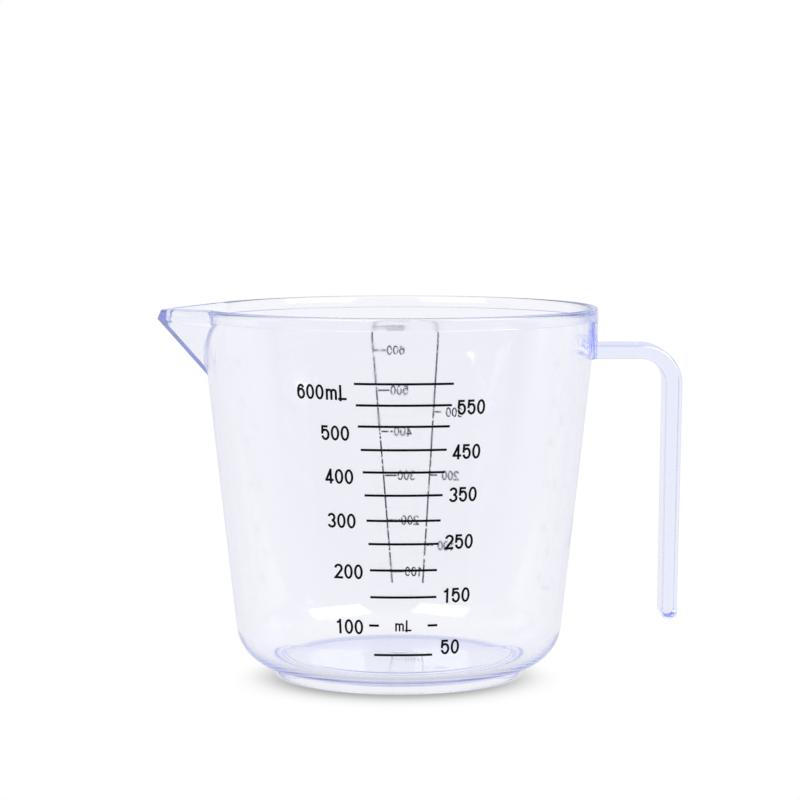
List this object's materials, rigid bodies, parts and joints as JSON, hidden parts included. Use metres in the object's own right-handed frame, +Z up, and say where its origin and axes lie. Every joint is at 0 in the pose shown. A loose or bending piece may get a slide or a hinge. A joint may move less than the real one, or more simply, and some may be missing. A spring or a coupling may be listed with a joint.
{
  "type": "resin mixing cup",
  "caption": "Clear moulded measuring jug for mixing resin, with a pouring spout, a rim band, an open side handle, a low foot ring and printed graduations front and rear.",
  "frame": {"origin": "centre of the foot, on the plane that the jug stands on", "axes": "+Z up along the cup's axis, -X towards the spout's tip, +X towards the handle, -Y out of the front scale"},
  "size_m": [0.1487, 0.113, 0.105],
  "materials": {
    "clear_plastic": "clear injection moulded polystyrene, polished, with a faint violet tint in its thick edges",
    "front_ink": "black pad printed ink",
    "rear_ink": "thin dark grey pad printed ink"
  },
  "bodies": {
    "root": {"cup_wall": "clear_plastic", "cup_base": "clear_plastic", "foot_ring": "clear_plastic", "gate_mark": "clear_plastic", "rim_band": "clear_plastic", "pour_spout": "clear_plastic", "handle_root": "clear_plastic", "handle_arm": "clear_plastic", "handle_grip": "clear_plastic", "front_scale_lines": "front_ink", "front_hundreds": "front_ink", "front_fifties": "front_ink", "front_unit_marks": "front_ink", "rear_rules": "rear_ink", "rear_ticks": "rear_ink", "rear_numbers": "rear_ink"}
  },
  "joints": []
}
